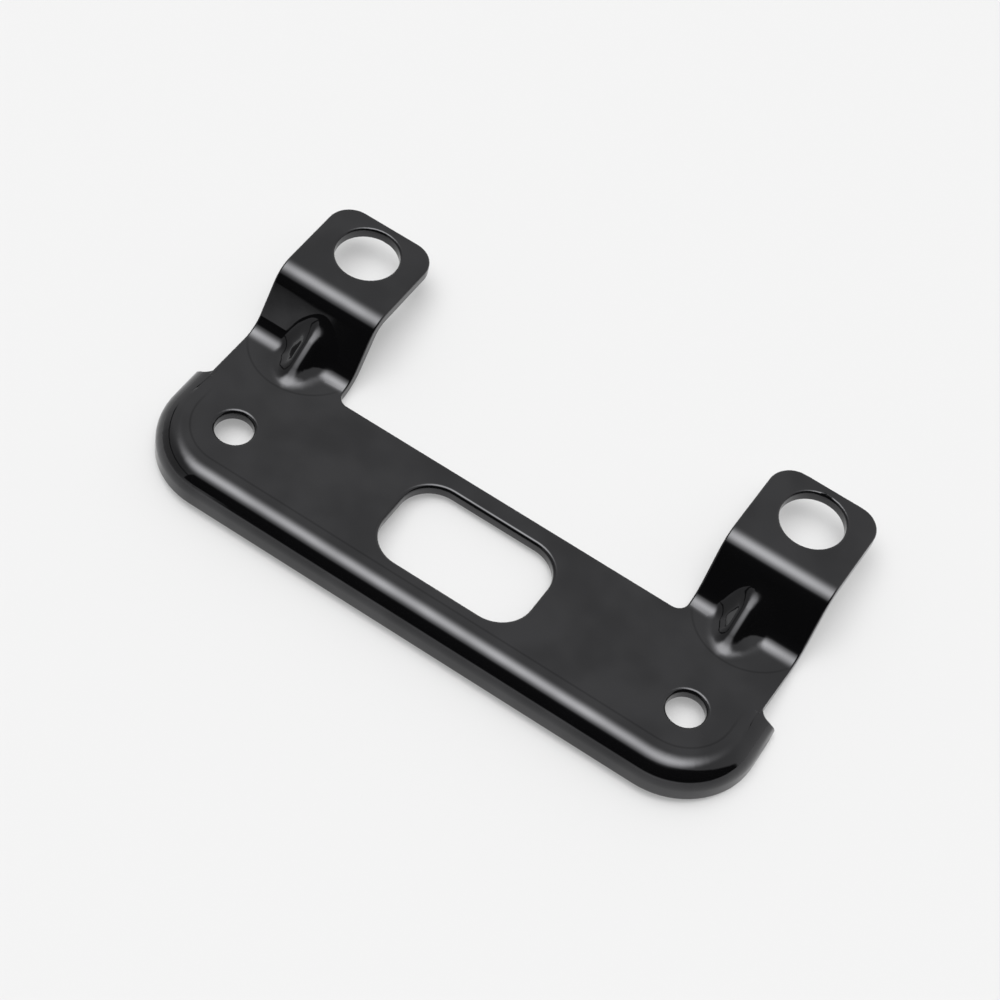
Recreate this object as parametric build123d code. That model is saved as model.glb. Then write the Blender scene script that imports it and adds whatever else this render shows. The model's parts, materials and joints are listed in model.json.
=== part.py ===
from build123d import *
import os
from math import radians, sin, tan

# A pressed sheet steel bracket that carries a speedometer.
# A flat pan, stiffened by a flange that turns down along its front and round both ends, carries two
# arms at the rear. Each arm steps up to a raised tab, and a dart pressed into its lower bend keeps it
# from opening.
# Millimetres. The origin is on the top face of the pan, midway between its two fixing holes.
# X runs along the pan, Y to the rear, towards the arms, and Z up.

os.makedirs("parts", exist_ok=True)

sheet = 2.2

# Pan
pan_length = 112.4
pan_front = 12.9
pan_rear = 15.2
pan_corner = 13.8
flange_depth = 6.6
flange_bend_inside = 2.0
flange_taper_run = 11.2
flange_taper_rise = 3.6
notch_back = 6.3
notch_slant = 14.0
notch_fillet = 1.4

# Holes
hole_spacing = 86.5
fixing_hole = 6.5
gauge_hole = 11.0
gauge_hole_back = 36.4
window_length = 28.0
window_width = 17.0
window_corner = 6.0
window_centre_back = 3.0

# Arms
arm_width = 19.4
arm_reach = 43.7
arm_rise = 10.4
arm_slope = 60.0
arm_bend_back = 19.5
arm_lower_bend = 4.6
arm_upper_bend = 2.8
arm_root_fillet = 2.0
tab_corner = 4.4

# Darts
dart_inset = 0.9
dart_nose_back = 10.7
dart_height = 8.0
dart_half_angle = 44.0
dart_crest = 1.9
dart_groove = 0.5
dart_foot_easing = 0.1

flange_bend_outside = flange_bend_inside + sheet
half_spacing = hole_spacing / 2
arm_inner = half_spacing - arm_width / 2
arm_outer = half_spacing + arm_width / 2
flange_end = notch_back + (pan_length / 2 - arm_outer) * tan(radians(notch_slant))
dart_foot = arm_lower_bend - dart_foot_easing
below_all = -2 * flange_depth
tiny = 0.01


def pan_plan(inset, rear):
    """Plan of the pan, drawn `inset` inside the outer face of its flange, back to `rear`."""
    front = inset - pan_front
    outline = Pos(0, (front + rear) / 2) * Rectangle(pan_length - 2 * inset, rear - front)
    front_corners = outline.vertices().sort_by(Axis.Y)[:2]
    return fillet(front_corners, pan_corner - inset)


def domed_block(inset, rear, top, bend):
    """Block under `pan_plan`, from the flange's edge up to `top`, its front and end edges rounded."""
    block = Pos(0, 0, -flange_depth) * extrude(pan_plan(inset, rear), flange_depth + top)
    rim = block.edges().group_by(Axis.Z)[-1].sort_by(Axis.Y)[:-1]
    return fillet(rim, bend)


def flanged_pan():
    """The pan back to its notches, with the flange rising towards the rear at both ends."""
    rear = flange_end + notch_fillet
    outer = domed_block(0, rear, 0, flange_bend_outside)
    hollow = domed_block(sheet, rear + sheet, -sheet, flange_bend_inside)
    taper_start = flange_end - flange_taper_run
    taper_radius = (flange_taper_run**2 + flange_taper_rise**2) / (2 * flange_taper_rise)
    kept = Pos(taper_start, taper_radius - flange_depth) * Circle(taper_radius)
    foot = Pos(flange_end, -flange_depth) * Rectangle(2 * flange_taper_run, 2 * flange_taper_rise)
    cut_away = extrude(Plane.YZ * (foot - kept), pan_length, both=True)
    return outer - hollow - cut_away


def notch(side):
    """The relief behind one end of the flange, beside the arm, with a rounded inner corner."""
    slanted = (arm_width, arm_width * tan(radians(notch_slant)))
    corner = Polygon((0, 0), slanted, (arm_width, arm_width), (0, arm_width), align=None)
    inner = corner.vertices().group_by(Axis.X)[0].sort_by(Axis.Y)[0]
    relief = Pos(arm_outer, notch_back) * fillet(inner, notch_fillet)
    return extrude(relief if side > 0 else mirror(relief, Plane.YZ), -below_all, both=True)


def rear_of_pan():
    """The flat sheet behind the notches, between the two arms."""
    depth = pan_rear - notch_back
    return Pos(0, pan_rear - depth / 2, -sheet / 2) * Box(2 * arm_inner, depth, sheet)


def slope_foot(depth):
    """How far back the slope would leave the pan, on the face `depth` below the upper one."""
    return arm_bend_back - (sheet / 2 - depth) * tan(radians(arm_slope / 2))


def dart_wedge(depth, crest):
    """The wedge that a dart pushes up through the face `depth` below the upper one."""
    nose = Vector(0, dart_nose_back, 0)
    top = Vector(0, slope_foot(0) + dart_height / tan(radians(arm_slope)), dart_height)
    along = (top - nose).normalized()
    ridge = -depth / sin(radians(dart_half_angle))
    root = ridge - dart_height
    half_width = dart_height * tan(radians(dart_half_angle))
    section = Polygon((0, ridge), (-half_width, root), (half_width, root), align=None)
    section = fillet(section.vertices().sort_by(Axis.Y)[-1], crest)
    run_in = dart_nose_back - notch_back
    start = Plane(origin=nose - along * run_in - Vector(dart_inset, 0, 0), x_dir=(-1, 0, 0), z_dir=along)
    return extrude(start * section, run_in + (top - nose).length + crest)


def under_arm(depth, crest, overrun):
    """Everything under the face of one arm and its dart that lies `depth` below the upper one."""
    foot = (slope_foot(depth), -depth)
    brow = (slope_foot(depth) + arm_rise / tan(radians(arm_slope)), arm_rise - depth)
    front = notch_back - overrun
    rear = arm_reach + overrun
    top = [(front, -depth), foot, brow, (rear, arm_rise - depth)]
    profile = Polygon(*top, (rear, below_all), (front, below_all), align=None)
    profile = fillet(profile.vertices().sort_by_distance(foot)[0], arm_lower_bend + depth)
    profile = fillet(profile.vertices().sort_by_distance(brow)[0], arm_upper_bend + sheet - depth)
    strip = extrude(Plane.YZ * profile, arm_width / 2 + overrun, both=True)
    wedge = dart_wedge(depth, crest)
    formed = strip + wedge
    return fillet(new_edges(strip, wedge, combined=formed), dart_foot + depth)


def arm(side):
    """One joggled arm with its dart, from the notch to the end of its tab."""
    strip = under_arm(0, dart_crest, 0) - under_arm(sheet, dart_groove, sheet)
    tab_ends = strip.edges().filter_by(Axis.Z).group_by(Axis.Y)[-1]
    formed = Pos(half_spacing, 0, 0) * fillet(tab_ends, tab_corner)
    return formed if side > 0 else mirror(formed, Plane.YZ)


def upright_edges_at(part, x, y):
    """Edges of `part` that stand at one place of the plan, on either side of its middle."""
    upright = part.edges().filter_by(Axis.Z)
    return [edge for edge in upright if abs(abs(edge.center().X) - x) < tiny and abs(edge.center().Y - y) < tiny]


def holes():
    """Bores of the fixing holes and the gauge holes, and the window, cut through everything."""
    round_holes = Sketch()
    for side in (-1, 1):
        round_holes += Pos(side * half_spacing, 0) * Circle(fixing_hole / 2)
        round_holes += Pos(side * half_spacing, gauge_hole_back) * Circle(gauge_hole / 2)
    window = Pos(0, window_centre_back) * RectangleRounded(window_length, window_width, window_corner)
    return Pos(0, 0, below_all) * extrude(round_holes + window, -2 * below_all)


bracket = flanged_pan() + rear_of_pan() + arm(-1) + arm(1)
bracket = fillet(upright_edges_at(bracket, arm_inner, pan_rear), arm_root_fillet)
bracket = bracket - notch(-1) - notch(1) - holes()
export_step(bracket, "parts/bracket.step")
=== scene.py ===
import json
import math
import bmesh
import bpy
from mathutils import Matrix, Vector


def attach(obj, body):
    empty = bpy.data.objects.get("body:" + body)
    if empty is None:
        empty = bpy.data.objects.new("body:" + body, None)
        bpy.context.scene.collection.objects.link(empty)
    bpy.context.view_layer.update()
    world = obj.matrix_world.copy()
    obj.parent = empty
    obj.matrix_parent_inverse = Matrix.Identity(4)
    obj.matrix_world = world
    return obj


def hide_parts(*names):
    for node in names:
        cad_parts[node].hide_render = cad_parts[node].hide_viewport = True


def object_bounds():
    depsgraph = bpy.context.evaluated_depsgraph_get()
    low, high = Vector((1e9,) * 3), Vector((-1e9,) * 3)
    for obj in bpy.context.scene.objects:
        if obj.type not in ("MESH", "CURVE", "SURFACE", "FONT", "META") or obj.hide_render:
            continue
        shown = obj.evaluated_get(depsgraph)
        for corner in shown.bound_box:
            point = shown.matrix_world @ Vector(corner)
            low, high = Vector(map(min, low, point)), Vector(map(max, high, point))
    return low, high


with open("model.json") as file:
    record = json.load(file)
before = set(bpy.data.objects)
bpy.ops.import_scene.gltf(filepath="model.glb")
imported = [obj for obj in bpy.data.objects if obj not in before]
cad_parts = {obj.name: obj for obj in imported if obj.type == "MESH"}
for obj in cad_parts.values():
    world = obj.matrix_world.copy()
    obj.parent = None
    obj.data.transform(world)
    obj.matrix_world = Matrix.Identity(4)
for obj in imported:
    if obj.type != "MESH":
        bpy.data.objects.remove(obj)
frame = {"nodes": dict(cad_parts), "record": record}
cad_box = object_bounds()

# The bracket
# One piece of mild steel sheet, 2.2 mm thick, blanked, pierced and then pressed in dies that draw the
# flange round both ends and raise the darts. Punches have rolled over the upper rims of the holes and the
# window, and the paint lies thick enough to round every other cut edge.

millimetre = 0.001
mounts = frame["record"]["mounts"]
fixing_holes, gauge_holes = [mount for mount in mounts if mount["kind"] == "bolt_pattern"]
hole_beside = fixing_holes["dims"]["spacing_x_mm"] * millimetre / 2
fixing_radius = fixing_holes["dims"]["hole_r_mm"] * millimetre
fixing_back = fixing_holes["pos_m"][1]
gauge_radius = gauge_holes["dims"]["hole_r_mm"] * millimetre
gauge_back = gauge_holes["pos_m"][1]
window_half_length = 0.014
window_half_width = 0.0085
window_back = 0.003
step_inner, step_outer = 0.0519, 0.05296
step_front, step_rear = 0.0062, 0.0086
tip_inner, tip_front = 0.0553, 0.0065

punched_rim_round = 0.0007
gauge_rim_round = 0.0005
cut_edge_round = 0.00035
rounding_steps = 4
rim_within = 0.0001
merge_within = 0.000001
smooth_below = math.radians(30)
flat_within = math.radians(0.1)
faces_up = 0.3
large_faces_first = 100


def in_hole(point, back, radius):
    """Whether a point is inside one of a pair of holes or on its rim."""
    return math.hypot(abs(point.x) - hole_beside, point.y - back) < radius + rim_within


def in_window(point):
    """Whether a point is inside the window or on its rim."""
    along = abs(point.x) < window_half_length + rim_within
    return along and abs(point.y - window_back) < window_half_width + rim_within


def edge_round(edge):
    """How far one sharp edge of the skin is rounded by the punch and the paint."""
    middle = (edge.verts[0].co + edge.verts[1].co) / 2
    if max(face.normal.z for face in edge.link_faces) < faces_up:
        return cut_edge_round
    if in_hole(middle, gauge_back, gauge_radius):
        return gauge_rim_round
    if in_hole(middle, fixing_back, fixing_radius) or in_window(middle):
        return punched_rim_round
    return cut_edge_round


def stays_sharp(corner):
    """Whether a corner is on the low step where an arm runs into the flange, or on the flange's tip."""
    x, y = corner.co.xy
    on_step = step_inner < abs(x) < step_outer and step_front < y < step_rear
    return on_step or (abs(x) > tip_inner and y > tip_front)


def pressed_sheet(node, name):
    """A copy of a CAD node as a new piece, joined into one smooth skin, with its sharp edges marked."""
    mesh = node.data.copy()
    mesh.materials.clear()
    skin = bmesh.new()
    skin.from_mesh(mesh)
    bmesh.ops.remove_doubles(skin, verts=skin.verts, dist=merge_within)
    bmesh.ops.dissolve_limit(skin, angle_limit=flat_within, verts=skin.verts, edges=skin.edges)
    roundness = skin.edges.layers.float.new("bevel_weight_edge")
    for edge in skin.edges:
        if edge.calc_face_angle() > smooth_below and not all(map(stays_sharp, edge.verts)):
            edge[roundness] = edge_round(edge) / punched_rim_round
    skin.to_mesh(mesh)
    skin.free()
    if mesh.attributes.get("custom_normal"):
        mesh.attributes.remove(mesh.attributes["custom_normal"])
    mesh.shade_smooth()
    piece = bpy.data.objects.new(name, mesh)
    bpy.context.scene.collection.objects.link(piece)
    return piece


bracket = pressed_sheet(frame["nodes"]["bracket"], "painted_bracket")

rounding = bracket.modifiers.new("rounded edges", "BEVEL")
rounding.width = punched_rim_round
rounding.segments = rounding_steps
rounding.limit_method = "WEIGHT"
rounding.use_clamp_overlap = False

flat_faces = bracket.modifiers.new("true flats", "WEIGHTED_NORMAL")
flat_faces.mode = "FACE_AREA_WITH_ANGLE"
flat_faces.weight = large_faces_first
flat_faces.keep_sharp = False

# Stoved black enamel: a black base under a clear gloss, with the faint ripple of sprayed paint, over sheet
# that the press has left a little wavy. It is rougher at the rims of the holes. Fine lines of lowered
# gloss behind the front bend and round the darts are painted shade, standing in for the faint creases the
# edges of the dies have pressed.

paint_black = (0.002, 0.002, 0.0022, 1)
paint_tint = (0.965, 0.965, 1, 1)
paint_roughness = 0.05
paint_ior = 1.52
paint_gloss = 0.57
thin_gloss = 0.44
cloud_size = 0.011
cloud_middle, cloud_softness = 0.5, 0.18
ripple_size = 0.0022
ripple_height = 0.0000012
wave_size = 0.015
wave_height = 0.00006
rim_grain = 0.00045
rim_grain_height = 0.000025
rim_reach = 0.0013
# Where the gloss is lowered to paint thin lines of shade at the die creases, behind the front bend and
# round the darts.
corner_centre = (0.0424, -0.0009, 0)
press_line_out = 0.0084
press_line_half = 0.0003
press_line_fade = 0.004
shade_gloss_on_line = 0.7
press_line_rear = 0.002
dart_ring_centre = (0.0435, -0.0215, 0)
dart_ring_radius = 0.0103
dart_ring_rear = 0.016

paint = bpy.data.materials.new("black_enamel")
paint.use_nodes = True
gloss = paint.node_tree.nodes["Principled BSDF"]
gloss.inputs["Base Color"].default_value = paint_black
gloss.inputs["Specular Tint"].default_value = paint_tint
gloss.inputs["Roughness"].default_value = paint_roughness
gloss.inputs["IOR"].default_value = paint_ior


def join(tree, kind, operation, *terms):
    """A node of the tree, whose inputs in turn are other outputs, plain numbers or places."""
    node = tree.nodes.new(kind)
    if operation:
        node.operation = operation
    for socket, term in zip(node.inputs, terms):
        if isinstance(term, bpy.types.NodeSocket):
            tree.links.new(term, socket)
        else:
            socket.default_value = term
    return node


def reckon(tree, operation, *terms):
    """The outcome of one sum."""
    return join(tree, "ShaderNodeMath", operation, *terms).outputs[0]


def measure(tree, operation, *terms):
    """The outcome of one sum with places or directions: a number where there is one, or else a place."""
    node = join(tree, "ShaderNodeVectorMath", operation, *terms)
    return node.outputs["Value" if operation in ("LENGTH", "DISTANCE", "DOT_PRODUCT") else "Vector"]


def beyond(tree, value, edge, softness):
    """Nought below an edge and one above it, with a soft change between."""
    change = join(tree, "ShaderNodeMapRange", None, value, edge - softness, edge + softness)
    change.interpolation_type = "SMOOTHSTEP"
    return change.outputs["Result"]


def relief(tree, place, size, height, under, share=1):
    """The skin roughened by a noise of one size and height, over the roughness under it."""
    noise = join(tree, "ShaderNodeTexNoise", None, place)
    noise.inputs["Scale"].default_value = 1 / size
    bump = tree.nodes.new("ShaderNodeBump")
    bump.inputs["Distance"].default_value = height
    tree.links.new(reckon(tree, "MULTIPLY", noise.outputs["Fac"], share), bump.inputs["Height"])
    if under:
        tree.links.new(under, bump.inputs["Normal"])
    return bump.outputs["Normal"]


# Both halves of the bracket are marked alike: the plan is folded along the middle, and runs forwards.
tree = paint.node_tree
place = tree.nodes.new("ShaderNodeTexCoord").outputs["Object"]
turned = measure(tree, "MULTIPLY", place, (1, -1, 0))
mirrored = measure(tree, "MULTIPLY", place, (-1, -1, 0))
plan = measure(tree, "MAXIMUM", turned, mirrored)

near_holes = []
for back, radius in ((fixing_back, fixing_radius), (gauge_back, gauge_radius)):
    from_middle = measure(tree, "DISTANCE", plan, (hole_beside, -back, 0))
    clear_of_rim = beyond(tree, from_middle, radius + rim_reach / 2, rim_reach / 2)
    near_holes.append(reckon(tree, "SUBTRACT", 1, clear_of_rim))
near_rims = reckon(tree, "MAXIMUM", *near_holes)
skin_normal = relief(tree, place, wave_size, wave_height, None)
skin_normal = relief(tree, place, ripple_size, ripple_height, skin_normal)
skin_normal = relief(tree, place, rim_grain, rim_grain_height, skin_normal, near_rims)
tree.links.new(skin_normal, gloss.inputs["Normal"])

past_corner = measure(tree, "MAXIMUM", measure(tree, "SUBTRACT", plan, corner_centre), (0, 0, 0))
from_bend = measure(tree, "LENGTH", past_corner)
from_dart = measure(tree, "DISTANCE", plan, dart_ring_centre)
backwards = measure(tree, "DOT_PRODUCT", place, (0, 1, 0))
# Thin lines of lowered gloss: painted shade standing in for the faint die creases behind the front bend
# and round the darts.
clear_of_shade_lines = 1
for distance, out, rear in (
    (from_bend, press_line_out, press_line_rear),
    (from_dart, dart_ring_radius, dart_ring_rear),
):
    off_line = reckon(tree, "ABSOLUTE", reckon(tree, "SUBTRACT", distance, out))
    clear = beyond(tree, off_line, press_line_half / 2, press_line_half / 2)
    behind = beyond(tree, backwards, rear, press_line_fade)
    clear_of_shade_lines = reckon(tree, "MINIMUM", clear_of_shade_lines, reckon(tree, "MAXIMUM", clear, behind))
clouds = join(tree, "ShaderNodeTexNoise", None, place)
clouds.inputs["Scale"].default_value = 1 / cloud_size
thickness = beyond(tree, clouds.outputs["Fac"], cloud_middle, cloud_softness)
even_gloss = reckon(tree, "ADD", reckon(tree, "MULTIPLY", thickness, paint_gloss - thin_gloss), thin_gloss)
share_of_shade_lines = join(tree, "ShaderNodeMapRange", None, clear_of_shade_lines, 0, 1, shade_gloss_on_line, 1)
gloss_with_shade_lines = reckon(tree, "MULTIPLY", even_gloss, share_of_shade_lines.outputs["Result"])
tree.links.new(gloss_with_shade_lines, gloss.inputs["Specular IOR Level"])

bracket.data.materials.append(paint)
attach(bracket, "root")
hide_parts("bracket")

# The floor
# A matt, pale sheet, lit faintly from below, which slopes up to the rear as it does when the bracket
# lies on the ends of its flange and on its two lower bends.

floor_grey = (0.373, 0.373, 0.373, 1)
floor_glow = 0.3
floor_half = 0.3
rest_tilt = math.radians(11.33)
rest_line_back = -0.0042

floor_corners = []
for side, depth in ((-1, -1), (1, -1), (1, 1), (-1, 1)):
    rise = (depth * floor_half - rest_line_back) * math.tan(rest_tilt)
    floor_corners.append((side * floor_half, depth * floor_half, cad_box[0].z + rise))
floor_mesh = bpy.data.meshes.new("floor")
floor_mesh.from_pydata(floor_corners, [], [(0, 1, 2, 3)])
floor = bpy.data.objects.new("floor", floor_mesh)
bpy.context.scene.collection.objects.link(floor)
matt = bpy.data.materials.new("pale_floor")
matt.use_nodes = True
sheet = matt.node_tree.nodes["Principled BSDF"]
sheet.inputs["Base Color"].default_value = floor_grey
sheet.inputs["Roughness"].default_value = 1
sheet.inputs["Specular IOR Level"].default_value = 0
sheet.inputs["Emission Color"].default_value = (1, 1, 1, 1)
sheet.inputs["Emission Strength"].default_value = floor_glow
floor_mesh.materials.append(matt)

# The studio
# White walls and ground, a wide soft lamp overhead, a dark room in front and to the right with a shoulder
# at its left, a grey screen on the left and a thin dark gap above it. Azimuth is measured from the front
# towards the right, and elevation up from the level of the pan.

wall_light = 0.8
ground_light = 1.05
ground_top = math.radians(-4)
lamp_light = 7.8
lamp_share_at_edge = 0.5
lamp_centre = (-0.13, -0.15)
lamp_half = (0.47, 0.3)
lamp_falloff = (4, 2)
lowest_height = 0.06
dark_light = 0.02
dark_left = math.radians(-18)
dark_right = math.radians(100)
dark_foot = math.radians(-9)
dark_top_in_front = math.radians(55)
dark_top_at_right = math.radians(30)
shoulder_left = math.radians(-30)
shoulder_foot = math.radians(6.3)
gap_left = math.radians(-115)
gap_foot = math.radians(25)
gap_top = math.radians(28.5)
screen_light = 0.4
screen_azimuth = math.radians(-60)
screen_elevation = math.radians(20)
screen_edge, screen_fade = 0.82, 0.15
in_front, at_right = 0, math.radians(90)
soft_edge = 0.06
crisp_edge = 0.016
sharp_edge = 0.008
backdrop = 0.913

world = bpy.data.worlds.new("studio")
bpy.context.scene.world = world
world.use_nodes = True
tree = world.node_tree
sky = tree.nodes["Background"]
sky.inputs["Color"].default_value = (1, 1, 1, 1)
look = tree.nodes.new("ShaderNodeTexCoord").outputs["Generated"]


def direction(azimuth, elevation):
    """Unit vector towards a place in the room."""
    across = math.cos(elevation)
    return Vector((math.sin(azimuth) * across, -math.cos(azimuth) * across, math.sin(elevation)))


def facing(towards):
    """How far each direction of the room agrees with one of them, from -1 to 1."""
    return measure(tree, "DOT_PRODUCT", look, towards)


def above(elevation, edge):
    """The part of the room over an elevation."""
    return beyond(tree, facing((0, 0, 1)), math.sin(elevation), edge)


def below(elevation, edge):
    """The part of the room under an elevation."""
    return beyond(tree, facing((0, 0, -1)), -math.sin(elevation), edge)


def right_of(azimuth, edge):
    """The half of the room to the right of an azimuth."""
    return beyond(tree, facing((math.cos(azimuth), math.sin(azimuth), 0)), 0, edge)


def left_of(azimuth, edge):
    """The half of the room to the left of an azimuth."""
    return beyond(tree, facing((-math.cos(azimuth), -math.sin(azimuth), 0)), 0, edge)


def overlap(*parts):
    """What several parts of the room have in common."""
    common, *others = parts
    for other in others:
        common = reckon(tree, "MULTIPLY", common, other)
    return common


def blend(share, first, second):
    """The first light where the share is nought, and the second where it is one."""
    from_first = reckon(tree, "MULTIPLY", reckon(tree, "SUBTRACT", 1, share), first)
    from_second = reckon(tree, "MULTIPLY", share, second)
    return reckon(tree, "ADD", from_first, from_second)


height = reckon(tree, "MAXIMUM", facing((0, 0, 1)), lowest_height)
offsets = []
for axis, centre, half, falloff in zip(((1, 0, 0), (0, 1, 0)), lamp_centre, lamp_half, lamp_falloff):
    spot = reckon(tree, "DIVIDE", facing(axis), height)
    from_centre = reckon(tree, "SUBTRACT", spot, centre)
    offset = reckon(tree, "ABSOLUTE", reckon(tree, "DIVIDE", from_centre, half))
    offsets.append(reckon(tree, "POWER", offset, falloff))
lamp_share = reckon(tree, "POWER", lamp_share_at_edge, reckon(tree, "ADD", *offsets))
lamp = reckon(tree, "MULTIPLY", lamp_share, lamp_light)

top_at_right = direction(at_right, dark_top_at_right)
under_top = facing(top_at_right.cross(direction(in_front, dark_top_in_front)).normalized())
dark_room = overlap(beyond(tree, under_top, 0, soft_edge), left_of(dark_right, soft_edge))
front = overlap(dark_room, above(dark_foot, soft_edge), right_of(dark_left, sharp_edge))
shoulder = overlap(dark_room, above(shoulder_foot, crisp_edge), right_of(shoulder_left, sharp_edge))
gap_across = overlap(right_of(gap_left, soft_edge), left_of(dark_left, soft_edge))
gap = overlap(above(gap_foot, sharp_edge), below(gap_top, sharp_edge), gap_across)
dark = reckon(tree, "MAXIMUM", reckon(tree, "MAXIMUM", front, shoulder), gap)
screen = beyond(tree, facing(direction(screen_azimuth, screen_elevation)), screen_edge, screen_fade)
room = blend(dark, blend(screen, wall_light, screen_light), dark_light)
room = blend(below(ground_top, soft_edge), room, ground_light)

seen = tree.nodes.new("ShaderNodeLightPath").outputs["Is Camera Ray"]
tree.links.new(blend(seen, reckon(tree, "ADD", room, lamp), backdrop), sky.inputs["Strength"])

# The camera
# Above, in front and to the right of the bracket, held a little askew, with a long lens that is aimed
# between the two arms.

camera_azimuth = math.radians(21.58)
camera_elevation = math.radians(53.19)
camera_roll = math.radians(13.91)
camera_distance = 0.4483
camera_target = Vector((-0.00129, 0.01513, 0))
lens_per_width = 2.7727

back = direction(camera_azimuth, camera_elevation)
level_right = Vector((math.cos(camera_azimuth), math.sin(camera_azimuth), 0))
level_up = back.cross(level_right)
right = level_right * math.cos(camera_roll) + level_up * math.sin(camera_roll)
up = back.cross(right)
lens = bpy.data.cameras.new("camera")
lens.lens = lens_per_width * lens.sensor_width
camera = bpy.data.objects.new("camera", lens)
bpy.context.scene.collection.objects.link(camera)
turn = Matrix((right, up, back)).transposed().to_4x4()
camera.matrix_world = Matrix.Translation(camera_target + back * camera_distance) @ turn
bpy.context.scene.camera = camera
bpy.context.scene.view_settings.view_transform = "Standard"
